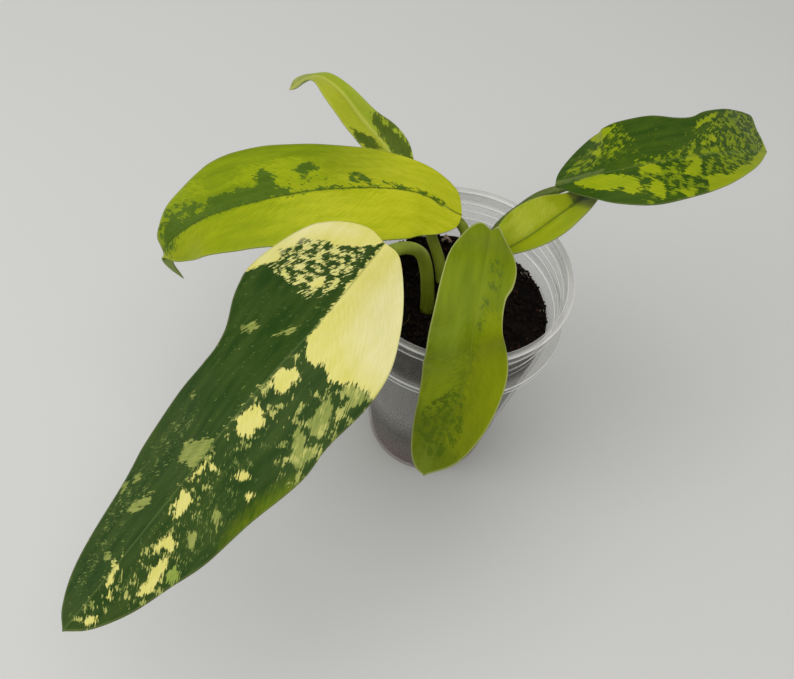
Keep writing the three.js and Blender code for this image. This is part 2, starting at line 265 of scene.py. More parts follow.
def smooth(points, t):
    """Catmull-Rom curve through evenly spaced points, at t from 0 to 1, with the ends carried straight on."""
    points = np.asarray(points, float).reshape(len(points), -1)
    held = np.vstack([2 * points[0] - points[1], points, 2 * points[-1] - points[-2]])
    place = np.clip(t, 0, 1) * (len(points) - 1)
    step = np.minimum(place.astype(int), len(points) - 2)
    f = (place - step)[..., None]
    a, b, c, d = (held[step + k] for k in range(4))
    return b + f * (c - a) / 2 + f**2 * (a - 2.5 * b + 2 * c - d / 2) + f**3 * (1.5 * b - a / 2 - 1.5 * c + d / 2)


def rows_at(where, reach, table):
    """Rows in between those of a table, found by how far along they lie."""
    return np.stack([np.interp(where, reach, column) for column in table.T], -1)


def even_path(points, share):
    """Points at even shares of a smooth curve's length, and the whole length."""
    curve = smooth(points, np.linspace(0, 1, CURVE_STEPS))
    reach = np.concatenate([[0], np.cumsum(np.linalg.norm(np.diff(curve, axis=0), axis=1))])
    return rows_at(np.clip(share, 0, 1) * reach[-1], reach, curve), reach[-1]


def unit(vectors):
    return vectors / np.linalg.norm(vectors, axis=-1, keepdims=True)


def square_to(vectors, direction):
    """Unit vectors: the direction, less what of it lies along each vector."""
    return unit(direction - (vectors * direction).sum(-1, keepdims=True) * vectors)


# %% The bent sheet
UP = np.array([0.0, 0.0, 1.0])


class Sheet:
    """The plane of one blade, bent along its rib. Lengths in millimetres."""

    def __init__(self, leaf):
        self.leaf = leaf
        share = np.linspace(0, 1, CURVE_STEPS)
        self.points, self.length = even_path(leaf["rib"], share)
        self.reach = share * self.length
        self.tangents = unit(np.gradient(self.points, self.reach, axis=0))

    def rib(self, along):
        """Point, right-hand side and normal of the rib at a distance along it."""
        inside = np.clip(along, 0, self.length)
        tangent = unit(rows_at(inside, self.reach, self.tangents))
        point = rows_at(inside, self.reach, self.points) + tangent * (along - inside)[..., None]
        level = square_to(tangent, UP)
        side = np.cross(tangent, level)
        roll = np.radians(smooth(self.leaf["roll"], inside / self.length))
        return point, side * np.cos(roll) + level * np.sin(roll), level * np.cos(roll) - side * np.sin(roll)

    def bend(self, along, out):
        """A flat point in space, with both halves folded up or down about the rib, and its normal."""
        point, right, normal = self.rib(along)
        fold = np.radians(smooth(self.leaf["fold"], np.clip(along / self.length, 0, 1)))
        out = out[..., None]
        bent = point + right * out * np.cos(fold) + normal * np.abs(out) * np.sin(fold)
        return bent, unit(normal * np.cos(fold) - right * np.sign(out) * np.sin(fold))


# %% [markdown]
# On a real leaf the rib is a groove above and a ridge below, the blade thins towards its margin, and the
# margin ripples. The ring of a row runs from the left margin over the rib to the right one, and back
# underneath. Alongside the mesh go the numbers that the materials need: where on the flat leaf each
# point lies, how far it is from the rib and from the margin, and whether it is on the lower face.

# %% Blades
BLADE_THICKNESS = 0.8
MARGIN_THICKNESS = 0.45
MARGIN_BEVEL = 4
END_THINNESS, END_GROWTH = 0.2, 6
GROOVE_DEPTH = 0.35
GROOVE_WIDTH = 0.8
GROOVE_STARTS = 12
RIDGE_SHARE = 0.8
RIDGE_WIDTH = 1.5
RIDGE_TAPER = 1.3
ROW_SWING = 1.35
ROW_CROWDING = 1.6
HALF_COLUMNS = 32
COLUMN_CROWDING = 0.85
VEIN_LEAN = 1.1
VEIN_CURVE = 0.03
VEIN_STRETCH = 1.8
LEFT_PATTERN_SHIFT = 40
PATCH_REACH = 20
CM = 0.1


def blade(leaf, name):
    """Rows u from base to tip, columns v from -1 at the left margin to 1 at the right one.
    along = rib point of the row, moved to the margin's by |v|**swing; out = v times the margin's.
    A side vein starts on the rib at along - lean * |out| - curve * out**2."""
    sheet = Sheet(leaf)
    u = np.linspace(0, 1, leaf["rows"] + 1)[1:-1, None]
    spread = np.linspace(-1, 1, 2 * HALF_COLUMNS + 1)
    v = np.sign(spread) * np.abs(spread) ** COLUMN_CROWDING
    left, right = (even_path(leaf[hand], u[:, 0])[0][:, None] for hand in ("left", "right"))
    margin = np.where(v[None, :, None] < 0, left, right)
    start = sheet.length * u**ROW_CROWDING * np.ones_like(v)
    along = start + (margin[..., 0] - start) * np.abs(v) ** ROW_SWING
    out = v * margin[..., 1]
    top, face = sheet.bend(along, out)
    fade = np.sin(np.pi * u)
    height, waves = leaf["wave"]
    ripple = height * np.sin(2 * np.pi * waves * u + np.sign(v)) * v**2 * fade
    groove = -GROOVE_DEPTH * np.exp(-((out / GROOVE_WIDTH) ** 2)) * np.sqrt(1 - u) * np.minimum(1, GROOVE_STARTS * u)
    top = top + face * (ripple + groove)[..., None]
    thick = MARGIN_THICKNESS + (BLADE_THICKNESS - MARGIN_THICKNESS) * (1 - np.abs(v) ** MARGIN_BEVEL)
    ridge = RIDGE_SHARE * leaf["radius"] * (1 - u) ** RIDGE_TAPER * np.exp(-((out / RIDGE_WIDTH) ** 2))
    bottom = top - face * ((thick + ridge) * np.minimum(1, END_THINNESS + END_GROWTH * fade))[..., None]
    rings = np.concatenate([top, bottom[:, ::-1]], axis=1) * MM
    ends = [sheet.bend(np.array([end]), np.zeros(1))[0] * MM for end in (0.0, sheet.length)]
    piece = ring_skin(name, rings, *ends)

    def both_faces(upper, lower, at_end=0):
        return np.append(np.concatenate([upper, lower[:, ::-1]], axis=1).ravel(), [0, at_end])

    from_rib = np.abs(out)
    vein_root = along - VEIN_LEAN * from_rib - VEIN_CURVE * from_rib**2
    vein_reach = VEIN_STRETCH * from_rib + LEFT_PATTERN_SHIFT * (out < 0)
    flat_along, flat_out = both_faces(along, along, sheet.length), both_faces(out, out)
    vein = [both_faces(vein_root, vein_root, sheet.length), both_faces(vein_reach, vein_reach)]
    map_layer(piece, "flat", np.stack([flat_along, flat_out], -1) * CM)
    map_layer(piece, "veins", np.stack(vein, -1) * CM)
    edge = np.abs(margin[..., 1]) * (1 - np.abs(v))
    point_layer(piece, "from_rib", both_faces(from_rib, from_rib))
    point_layer(piece, "from_margin", both_faces(edge, edge))
    point_layer(piece, "under", both_faces(np.zeros_like(along), np.ones_like(along)))
    for mark, shapes in leaf["marks"].items():
        depth = np.max([shape(flat_along, flat_out) for shape in shapes], axis=0)
        point_layer(piece, mark, np.clip(depth, -PATCH_REACH, PATCH_REACH))
    return piece


# %% [markdown]
# Variegation is green tissue beside tissue with little green or none, and a patch of either keeps to the
# side veins that it grew along. Here a patch is a plain outline on the flat leaf. The mesh carries only how
# deep inside the outline a point lies, in millimetres, and the material frays that edge with noise drawn
# out along the veins.


# %% Patches on the flat leaf
def from_line(here, a, b):
    """Distance from the line between two points: the share along it is cut off at its ends."""
    share = np.clip(((here - a) @ (b - a)) / ((b - a) @ (b - a)), 0, 1)
    return np.linalg.norm(here - a - share[:, None] * (b - a), axis=-1)


def region(*corners):
    """Distance inside a polygon, negative outside: the nearest edge, signed by crossing count."""
    corners = np.asarray(corners, float)

    def depth(along, out):
        here = np.stack([along, out], -1)
        nearest = np.full(along.shape, np.inf)
        inside = np.zeros(along.shape, bool)
        for a, b in zip(corners, np.roll(corners, -1, axis=0)):
            nearest = np.minimum(nearest, from_line(here, a, b))
            crossed = (a[1] > out) != (b[1] > out)
            rise = b[1] - a[1] if b[1] != a[1] else 1
            inside ^= crossed & (along < a[0] + (out - a[1]) * (b[0] - a[0]) / rise)
        return np.where(inside, nearest, -nearest)

    return depth


def stroke(start, end, half_width):
    """Distance inside a thin line from one flat point to another."""
    start, end = np.array(start, float), np.array(end, float)
    return lambda along, out: half_width - from_line(np.stack([along, out], -1), start, end)


def blotch(along, out, half_length, half_width, turn=0):
    """Distance inside an ellipse, taken along its shorter half-axis."""
    cos, sin = math.cos(math.radians(turn)), math.sin(math.radians(turn))

    def depth(x, y):
        a = ((x - along) * cos + (y - out) * sin) / half_length
        b = ((y - out) * cos - (x - along) * sin) / half_width
        return (1 - np.hypot(a, b)) * min(half_length, half_width)

    return depth


def without(patch, *islands):
    """The patch with islands of bare ground left in it."""
    return lambda along, out: np.min([patch(along, out)] + [-island(along, out) for island in islands], axis=0)


# %% [markdown]
# The six leaves, in millimetres and degrees. `rib` is the blade's midline in space, and `left` and
# `right` are its margins as distance along the rib and out from it. `roll` turns the blade about the rib
# and `fold` lifts its halves. `petiole` and `radius` are the stalk's route and thickness. These are the CAD
# part's own numbers. `rows` says how fine the mesh is, and `wave` the height and number of the margin's
# ripples. `marks` are patches read from the photograph leaf by leaf: distance along the rib, then out to
# the right of it. Most are this plant's own patches. The upper left leaf's lighter left half and the
# hanging leaf's steep patch are painted light.

# %% The front left leaf, half cream
FRONT_LEFT = {
    "rows": 220, "radius": 2.2, "wave": (0.5, 3.5), "roll": [-4, -4, -4, -4], "fold": [-6, -12, -12, -8],
    "petiole": [(-7.8, -2.2, 70), (-8.4, -2.4, 80), (-10.2, -2.9, 93), (-12.6, -6.2, 104), (-17, -12.4, 111.3)],
    "rib": [(-21.8, -16.6, 116), (-30.1, -48.2, 120), (-43.2, -73.1, 111), (-58.8, -93.4, 88), (-80.2, -121, 57)],
    "right": [(0, 0), (-4.5, 8), (-3.2, 18), (4.5, 25.4), (20, 29), (39, 27.4), (53, 22), (63, 20.5), (79, 21.8),
              (94, 21), (107, 17.6), (131, 11.7), (141, 5.9), (144, 0)],
    "left": [(0, 0), (1.5, 4.6), (6.3, 8.2), (16.8, 13.6), (28, 18.7), (36, 21.8), (45, 22.8), (56, 22.1),
             (66, 22.6), (81, 20), (98, 18.1), (110, 15), (124, 11.3), (136, 6), (144, 0)],
}
FRONT_LEFT["marks"] = {
    "cream": [
        region((0, 0.4), (20, 0.7), (32, 0), (40, -0.5), (43.5, -2.5), (44.5, -6.5), (42, -7.5), (44, -9.5),
               (45, -12), (42, -17), (41.5, -20), (43, -26), (20, -26), (0, -16), (-6, -8)),
        region((-6, -1), (2, 1.5), (4.5, 6), (6.3, 12), (5.2, 15), (6.5, 22.3), (11, 22.5), (13, 25.3), (18, 23),
               (21.5, 25.5), (27, 28.8), (27, 34), (-8, 34), (-12, 10)),
        region((47.6, -3.5), (50, -1), (53.4, -1.2), (55, -4.5), (52.5, -6), (48.6, -5.4)),
        region((60.4, -1.6), (65, -0.9), (68, -3), (67, -6), (62.5, -7), (59.8, -5.2)),
        region((88.6, -1), (92.5, -1.4), (95, -3.3), (98.4, -3.7), (94.5, -5.2), (89, -5.2)),
        region((100.6, -8.7), (100.6, -5.6), (104, -4.9), (108, -5.8), (104, -7.2), (103, -8.8)),
        region((104.6, -9.5), (109, -8.3), (113, -8.5), (118.4, -10), (117, -11.5), (111, -11.6), (106.6, -10.8)),
        region((117.7, 0.5), (121, 0.1), (125, -1.8), (122, -2.4), (118, -1.2)),
        region((132, -4.8), (134, -3.3), (136.8, -2.8), (136.2, -4.4), (133.5, -5.5)),
        blotch(125.5, -4, 1.2, 0.7), blotch(79, -3.7, 1, 0.6), blotch(83, -1.6, 2.4, 0.5),
        blotch(75, -10.8, 1.5, 0.8, 40), blotch(76.8, -15.3, 1, 0.8), blotch(23.3, 8, 1.6, 2.2),
    ],
    "ivory": [
        region((6, -7), (22, -6), (34, -8), (38, -14), (40, -24), (20, -26), (2, -17)),
        region((-1, 10), (2, 18), (10, 26), (20, 28), (20, 32), (-6, 30)),
    ],
    "crumbly": [
        region((44, -2.5), (50, 0), (62, 0), (70, -1), (70, -7), (60, -8), (50, -7)),
        region((74, -0.4), (88, -0.5), (100, -2), (101, -7), (90, -7), (78, -5)),
        region((99, -4), (110, -4), (122, -8), (121, -14), (108, -14), (100, -10)),
        region((115, 1.5), (127, 0.5), (140, -1), (138, -6), (126, -5), (117, -2)),
        region((41, -13), (58, -11), (68, -16), (68, -23), (44, -24)),
    ],
    "mottle": [
        region((4.5, 4.5), (5, 12), (5, 21), (12, 23), (22, 22), (25, 16), (27, 10), (29, 7), (22, 3.5), (8, 3.5)),
    ],
    "pale": [
        region((72, 0.6), (77.5, 3.5), (80, 7), (83, 8.5), (84, 6.5), (86, 8), (87, 6), (84.5, 3), (84.3, -0.3),
               (76, 0)),
        region((98.5, 5.8), (101, 7.8), (105, 9), (108.5, 10.2), (108.5, 8.6), (105, 6.6), (100, 4.6)),
        region((41.8, -16), (44.5, -16), (45, -18), (48, -19.5), (45, -21), (42, -23)),
        region((47.5, -14.5), (52, -14), (55, -14.5), (57, -17), (56, -19.5), (51, -18.5), (48.5, -16.8)),
        region((57.5, -13.3), (60, -14.5), (64, -17), (65, -20), (61, -21.5), (56.5, -20.5), (60, -18.5),
               (57.5, -16)),
        blotch(101.5, 14.2, 1.7, 0.9), blotch(73.5, 16.5, 1.1, 0.8), blotch(120, 4.6, 1.3, 1.1),
        blotch(107, 16.2, 1.8, 0.7), blotch(46.5, 15.8, 2.3, 1.2, 40), blotch(41, 5.2, 2.4, 0.9, 40),
        blotch(87, -12.8, 2.8, 1.1, -40), blotch(96.5, -11.6, 2.2, 1.2, -40),
    ],
    "yellow": [region((105, -12.3), (108.7, -11.8), (110, -13.5), (109, -15.2), (106, -14.7))],
    "olive": [region((66, -21), (74, -18.4), (86, -17.6), (92, -19), (92, -26), (66, -26))],
    "specks": [
        region((58, -3), (102, -1), (136, -1), (120, -14), (104, -18), (84, -17), (62, -12)),
        region((66, 10), (90, 8), (120, 4), (134, 2), (138, 8), (110, 18), (80, 20)),
    ],
}

# %% The upper left leaf, lime with a dark rib
UPPER_LEFT = {
    "rows": 170, "radius": 1.9, "wave": (0.3, 2), "roll": [0, 2, 6, 12, 22, 44, 60],
    "fold": [-4, -8, -8, -4, 0, 0, 0],
    "petiole": [(-1.7, 9.4, 78), (-1.2, 11.8, 88), (-1.2, 13.8, 96)],
    "rib": [(-3.4, 15.6, 101), (-20.6, 15.2, 107), (-46.1, 4.2, 110), (-71.3, -3.2, 102.2), (-86, -5.6, 91.6),
            (-95.8, -7.6, 78.2), (-92.3, -4.3, 62.3)],
    "right": [(0, 0), (1.2, 5), (3.5, 9), (9, 12.2), (15.3, 15.7), (24.3, 19.8), (34, 20.8), (54, 20.3),
              (64.8, 20.3), (80, 18.5), (86.4, 16.1), (92.3, 12.6), (98, 9.8), (104, 6), (112, 3), (126, 0)],
    "left": [(0, 0), (1, 6), (7, 13), (17, 17.3), (29.3, 18.7), (45.7, 18.5), (66, 15.5), (75.7, 14.5),
             (88.8, 12.1), (97, 9.7), (104, 7), (107.5, 4.4), (109.5, 1.8), (112, 0.9), (117, 0.8), (126, 0)],
}
UPPER_LEFT["marks"] = {
    # Painted light: the left half, the one towards the front, is painted lighter for the light and sheen that it
    # catches.
    "left": [region((-2, -0.2), (60, -0.2), (126, -0.2), (126, -24), (-2, -24))],
    "base": [region((-30, -40), (54, -40), (54, -2), (44, 0), (30, 12), (26, 40), (-30, 40))],
    "bright": [
        region((44, 11), (56, 14), (70, 13), (74, 9), (66, 5), (54, 3), (44, 4)),
        region((84, 9), (98, 10), (104, 4), (98, 12), (86, 13)),
    ],
    "dark": [
        without(
            region((55, -0.2), (75, -0.3), (95, -0.4), (103, -0.6), (106, -2), (105, 1.5), (102, 4.5), (97, 7),
                   (91, 6.4), (84, 4.8), (82, 6.8), (78.5, 6.2), (75, 5.8), (66, 5.8), (66.5, 10), (65, 11.5),
                   (61, 9.6), (60, 7), (60, 3.4), (55, 2.2)),
            blotch(86.5, 3, 1.8, 0.8), blotch(93.5, 4, 1.8, 0.8),
        ),
        region((46, 10), (49, 12), (53, 11), (54, 9.5), (52, 7.5), (52, 5), (50, 5), (49.5, 8), (47, 8.5)),
        without(
            region((30, 3), (32, 6.5), (34.5, 7.5), (36, 6), (37, 3.5), (34, 1), (33, 3), (31, 2.5)),
            blotch(34.4, 4.4, 0.8, 0.8),
        ),
        stroke((6, 0.3), (24, 0.8), 0.7), blotch(23, 1.3, 3, 1, 10), stroke((24, 0.5), (60, 0.3), 0.45),
    ],
    "faint": [region((26, 0.5), (60, 0.5), (60, 6), (44, 5), (34, 4))],
    "speckle": [region((88, 6.4), (98, 8.6), (104, 5), (107, 1), (107, -3.5), (100, -3), (92, 5))],
}

# %% The small leaf at the back
BACK = {
    "rows": 120, "radius": 1.9, "wave": (0.3, 2), "roll": [0, 0, 0, 5, 40], "fold": [12, 10, 4],
    "petiole": [(-5, 7, 78), (-7.6, 10.2, 84.5), (-11.2, 12.6, 91), (-16.2, 18.2, 96.9)],
    "rib": [(-22.9, 26.8, 98.3), (-32.5, 38.4, 100.5), (-43.4, 45.6, 105), (-52.5, 52, 109), (-61.4, 58.9, 108),
            (-68.7, 64, 102), (-75.6, 66.4, 94)],
    "right": [(0, 0), (2, 3.6), (9.4, 6.2), (15.2, 7.8), (21.5, 8), (29.3, 5.9), (41, 4), (51, 3.4), (59, 2.4),
              (67, 2.8), (71, 2.6), (74, 0)],
    "left": [(0, 0), (2, 3.4), (8.2, 6.8), (20.5, 8.4), (27, 8), (33, 7.5), (41, 7), (50.7, 4.3), (57, 3.8),
             (63, 3), (70, 1.2), (74, 0)],
}
BACK["marks"] = {
    "left": [region((-2, 0), (74, 0), (74, -12), (-2, -12))],
    "tip": [region((61, -8), (61, 8), (90, 8), (90, -8))],
    "dark": [
        without(
            region((8, 5), (12, 7.5), (18, 9.5), (24, 8.6), (28, 6.8), (28.8, 4), (26, 2), (20, 1.2), (15, 0.5),
                   (11, 2.5)),
            blotch(17, 7.2, 1.6, 0.7), blotch(24, 5.5, 1.2, 0.7),
        ),
        region((16.6, -1.8), (21, -1.8), (25, -4), (27.4, -7.5), (23, -9), (18, -6)),
    ],
}

# %% The marbled leaf on the right
RIGHT = {
    "rows": 150, "radius": 1.8, "wave": (0.3, 2.5), "roll": [0, -3, -6, -12, -16], "fold": [-4, -7, -5, 0, 0],
    "petiole": [(4.1, 7.8, 79), (6, 15.5, 86.5), (9, 22.8, 92.6), (15, 28.4, 98), (19.6, 30.4, 102.5)],
    "rib": [(23, 30.7, 107.5), (37.2, 30.5, 117.5), (52.7, 36.6, 121), (69, 47.6, 119), (82.9, 59.7, 114),
            (91.3, 67.5, 109)],
    "right": [(0, 0), (7.4, 5.9), (13.1, 9.2), (18.4, 12), (27.7, 14.6), (39.8, 14), (50, 12.3), (58, 10.4),
              (71.3, 6.6), (82.2, 1.9), (86.1, 0)],
    "left": [(0, 0), (0, 5), (1.5, 11), (4.5, 18.5), (8, 23), (13, 23), (18, 21.4), (28, 21.4), (41.4, 20),
             (50, 16.4), (56, 15.4), (64, 16.8), (80, 17.4), (88, 16.6), (91.5, 15.2), (89, 10), (88, 5),
             (86.1, 0)],
}
RIGHT["marks"] = {
    "lime": [
        region((6, 1), (9, 3.5), (13, 5.5), (20, 7.5), (22, 9.5), (25, 8), (24.5, 5), (22, 3), (18, 1), (12, -0.5),
               (8, 0)),
        region((26, 9), (27, 11.5), (30, 12.5), (31, 10.5), (30.5, 6), (28, 5.5), (27.5, 8)),
        region((26, 2.5), (29, 4.5), (32, 2.5), (30, 0), (26, 0.5)),
        region((38, 6), (42, 7.5), (44, 6.5), (47, 3), (46.5, -0.5), (44, -1), (42, 0.5), (44, 2), (40, 4)),
        region((35, 12), (36, 14), (39, 14), (39, 12)),
        region((44, 13), (46, 8), (52, 7.5), (54, 8.5), (60, 6.5), (68, 5), (80, 0), (88, -4), (96, 0), (80, 12),
               (50, 17)),
        region((12, -17), (17, -16.5), (20, -17), (26, -19.8), (20, -21), (15, -22), (11, -26), (7, -27), (8, -21)),
        region((10, -12), (13, -9.5), (15, -10), (14.5, -12), (12, -13.5), (10.5, -13)),
        region((55, -11), (62, -12.5), (68, -14.5), (70, -16), (64, -15), (57, -13)),
        stroke((53, -4), (60, -6), 0.6),
    ],
    "olive": [region((70, -9), (76, -11), (80, -13.5), (76, -14), (72, -12))],
    "mottle": [
        region((26, 13), (62, 13), (66, 6), (84, 2), (90, -2), (92, -14), (78, -17), (66, -12), (56, -8), (44, -3),
               (26, -1)),
        region((3, -4), (12, -4), (28, -12), (26, -20), (16, -19), (6, -12)),
    ],
    "specks": [
        region((5, -3), (30, -2), (30, -22), (5, -18)),
        region((45, -1), (88, 2), (90, -14), (60, -15), (45, -9)),
        region((14, 10), (30, 12.5), (40, 13), (40, 4), (30, 4)),
    ],
    "rib_band": [stroke((1, -1.2), (15, -1.2), 0.8)],
}

# %% The channelled leaf below it
CHANNELLED = {
    "rows": 100, "radius": 1.5, "wave": (0.2, 1), "roll": [0, 0, 0], "fold": [22, 18, 8],
    "petiole": [(6.6, 1.9, 80), (7.6, 1.6, 90), (8.8, 1.2, 98)],
    "rib": [(11.2, 2, 104), (17.6, 5.4, 109), (25.3, 15.7, 110), (33.1, 31, 105.5), (40.2, 47.2, 99)],
    "right": [(0, 0), (2, 4.2), (8.8, 6.6), (15.3, 7.3), (24.5, 6.2), (38.1, 4.4), (49.3, 2.4), (58.6, 0)],
    "left": [(0, 0), (-0.5, 4.5), (2.6, 8.2), (7.8, 9), (13, 9), (20, 7.8), (26, 6), (33, 4.2), (46, 2.6),
             (58.6, 0)],
}
CHANNELLED["marks"] = {
    "light": [region((5, -1.2), (22, -1.2), (20, -8.5), (5, -8))],
    "dark": [region((28, 0.3), (33, 0.8), (42, 2.5), (42, -3), (36, -1.3), (30, -0.8))],
}

# %% The leaf that hangs over the front
HANGING = {
    "rows": 130, "radius": 1.8, "wave": (0.4, 2), "roll": [0, 0, 0, 0], "fold": [-8, -8, -8, -8],
    "petiole": [(1.1, -3.5, 79), (2, -3.7, 90), (3.2, -1.4, 102), (4.6, 0.6, 111)],
    "rib": [(5.9, -3.4, 116), (6.3, -18.7, 118.5), (7, -35.1, 111), (7.9, -42, 92), (3.2, -54.5, 60)],
    "right": [(0, 0), (-3.8, 3), (-0.5, 6.4), (10, 10), (20, 11.2), (34, 11.6), (55, 12.7), (70, 11.3), (78, 9.6),
              (85, 6.8), (88.5, 3.5), (89, 0)],
    "left": [(0, 0), (-3.2, 2), (1, 4), (8.6, 7), (15, 8.5), (20.3, 8.3), (25, 6.9), (33, 7.6), (44, 11), (54, 11),
             (67, 10.1), (79.5, 6.9), (89, 0)],
}
HANGING["marks"] = {
    "left": [region((28, -1), (76, -1), (76, -14), (30, -14))],
    "dark": [
        region((56, 2.5), (62, 5.5), (70, 8.5), (78, 8), (80, 4), (82, 0), (76, -3), (70, -4.2), (64, -3),
               (57, -0.5)),
    ],
    "shade": [region((12, -1.5), (22, -1.5), (22, -4.5), (13, -4.5)), stroke((25, -1.5), (35, -1.2), 0.7)],
    "light": [region((33, 4), (36, 11), (50, 11), (48, 4), (40, 2.5)), region((76, 0), (90, -2), (90, 5), (78, 5))],
    # Painted light: the steep part of the blade is painted lighter, standing in for the light that falls on it.
    "steep_painted_light": [region((44, 2), (44, 13), (66, 13), (70, 8), (62, 2))],
}

# %% [markdown]
# Leaf colours. No leaf is one flat green: two greens take turns in streaks along the blade, the side
# veins show as hairlines, and the lower face is paler. Each kind of patch then lies over them, in two
# tones of its own and with a frayed edge, and the rib and the thin dry margin come last. A patch may be
# mottled, where green and pale cells are mixed along the veins. The gloss is satin, broken by the veins.

# %% Leaf material
VEIN_GAP_CM = 0.21
VEIN_STRENGTH = 0.06
VEIN_SHADE = (0.10, 0.13, 0.01)
UNDER_GREEN = (0.26, 0.34, 0.11)
DRY_MARGIN = (0.40, 0.42, 0.16)


def leaf_material(name, greens, patches, specks, rib, margin=0.15):
    """patches: (layer, two tones, fray in mm, width of the edge in mm, and for a mottle its threshold) from
    the lowest to the highest; specks: (colour, threshold); rib: (colour, half width in mm, strength)."""

    def paint(wire):
        streak = wire.noise(wire.map("veins", (9, 2.2)), detail=5, roughness=0.62) - 0.5
        fleck = wire.noise(wire.map("veins", (17, 8)), detail=5, roughness=0.66) - 0.5
        patchy = wire.noise(wire.map("flat", (4, 4)), detail=2) - 0.5
        drawn = wire.noise(wire.map("flat", (0.6, 3.4)))
        colour = wire.blend(drawn.above(0.5, 0.3), *greens)
        spots, left_out = specks
        dense = (wire.layer("specks") * 0.33).clamped()
        crowd = fleck + streak * 0.4 + patchy * 0.5 + dense * 0.085
        colour = wire.blend(crowd.above(left_out, 0.05) * 0.9, colour, spots)
        blocky = streak * 0.6 + patchy * 0.8 + fleck * 0.35
        ragged = streak * 7 + patchy * 5 + fleck * 4
        for layer, tones, fray, width, *threshold in patches:
            cover = (wire.layer(layer) + ragged * fray).above(0, width)
            for cut in threshold:
                cover = cover * blocky.above(cut, 0.05)
            colour = wire.blend(cover, colour, wire.blend((streak + drawn).above(0.5, 0.4), *tones))
        turn = wire.map("veins", (1, 1)).part(0) * (math.pi / VEIN_GAP_CM) + patchy * 4
        vein = (1 - turn.math("SINE").math("ABSOLUTE")).math("POWER", 4)
        colour = wire.blend(vein * VEIN_STRENGTH, colour, VEIN_SHADE)
        rib_colour, rib_width, rib_strength = rib
        near_rib = 1 - wire.layer("from_rib").above(rib_width, 0.4)
        colour = wire.blend(near_rib * rib_strength, colour, rib_colour)
        edge = 1 - wire.layer("from_margin").above(0.35, 0.25)
        colour = wire.blend(edge * margin, colour, DRY_MARGIN)
        colour = wire.blend(wire.layer("under") * 0.7, colour, UNDER_GREEN)
        return {
            "Base Color": colour,
            "Roughness": 0.40 + streak * 0.2 + wire.layer("under") * 0.2,
            "Specular IOR Level": 0.09,
            "Normal": wire.bump(fleck * 0.5 - vein * 0.6, 0.00006, 0.4),
        }

    return material(name, paint)


DARK_TONES = ((0.050, 0.100, 0.003), (0.075, 0.130, 0.008))
CREAM_GREEN = leaf_material(
    "leaf_cream_green", ((0.014, 0.042, 0.003), (0.034, 0.066, 0.008)),
    [
        ("olive", ((0.07, 0.12, 0.001), (0.12, 0.165, 0.003)), 0.5, 4),
        ("pale", ((0.17, 0.215, 0.04), (0.28, 0.31, 0.075)), 0.6, 0.35),
        ("crumbly", ((0.20, 0.24, 0.05), (0.44, 0.44, 0.12)), 1.0, 0.35, 0.085),
        ("mottle", ((0.56, 0.55, 0.15), (0.66, 0.62, 0.23)), 1.3, 0.35, 0.02),
        ("cream", ((0.60, 0.56, 0.13), (0.66, 0.61, 0.19)), 0.6, 0.35),
        ("ivory", ((0.66, 0.62, 0.26), (0.71, 0.66, 0.32)), 0.4, 7),
        ("yellow", ((0.20, 0.27, 0.04), (0.26, 0.33, 0.06)), 0.7, 0.35),
    ],
    ((0.18, 0.23, 0.055), 0.19), ((0.10, 0.15, 0.035), 0.2, 0.5))
LIME = leaf_material(
    "leaf_lime", ((0.145, 0.205, 0.001), (0.20, 0.265, 0.002)),
    [
        # Painted light: the left half's lighter tones stand for the light and sheen on that half.
        ("left", ((0.205, 0.265, 0.001), (0.27, 0.32, 0.002)), 0.3, 1.5),
        ("base", ((0.36, 0.40, 0.004), (0.46, 0.475, 0.014)), 1.5, 26),
        ("bright", ((0.22, 0.285, 0.001), (0.28, 0.34, 0.004)), 1.5, 4),
        ("faint", DARK_TONES, 0.8, 0.35, 0.10),
        ("speckle", DARK_TONES, 1.0, 0.35, 0.01),
        ("dark", DARK_TONES, 0.8, 0.35),
    ],
    ((0.12, 0.18, 0.002), 0.35), ((0.05, 0.09, 0.004), 0.3, 0.8))
BACK_LIME = leaf_material(
    "leaf_back_lime", ((0.23, 0.30, 0.008), (0.29, 0.35, 0.025)),
    [
        ("left", ((0.31, 0.36, 0.012), (0.38, 0.41, 0.025)), 0.3, 2.5),
        ("tip", ((0.22, 0.26, 0.05), (0.30, 0.33, 0.08)), 1.2, 6),
        ("dark", ((0.055, 0.09, 0.004), (0.085, 0.125, 0.009)), 0.8, 0.35),
    ],
    ((0.20, 0.26, 0.02), 0.35), ((0.42, 0.44, 0.07), 0.7, 0.6))
MARBLED = leaf_material(
    "leaf_marbled", ((0.020, 0.056, 0.001), (0.045, 0.088, 0.002)),
    [
        ("olive", ((0.10, 0.16, 0.006), (0.14, 0.19, 0.010)), 0.6, 0.35),
        ("mottle", ((0.13, 0.19, 0.002), (0.20, 0.265, 0.002)), 1.3, 0.35, 0.015),
        ("lime", ((0.22, 0.29, 0.001), (0.28, 0.33, 0.003)), 0.6, 0.35),
        ("rib_band", ((0.08, 0.12, 0.02), (0.10, 0.14, 0.03)), 0.4, 0.5),
    ],
    ((0.15, 0.21, 0.004), 0.18), ((0.10, 0.15, 0.03), 0.25, 0.5))
CHANNELLED_LIME = leaf_material(
    "leaf_channelled_lime", ((0.22, 0.28, 0.002), (0.27, 0.32, 0.005)),
    [
        ("light", ((0.29, 0.34, 0.01), (0.35, 0.38, 0.03)), 1.0, 4),
        ("dark", ((0.08, 0.13, 0.004), (0.12, 0.17, 0.006)), 0.8, 0.35),
    ],
    ((0.16, 0.22, 0.004), 0.35), ((0.09, 0.13, 0.005), 0.3, 0.8))
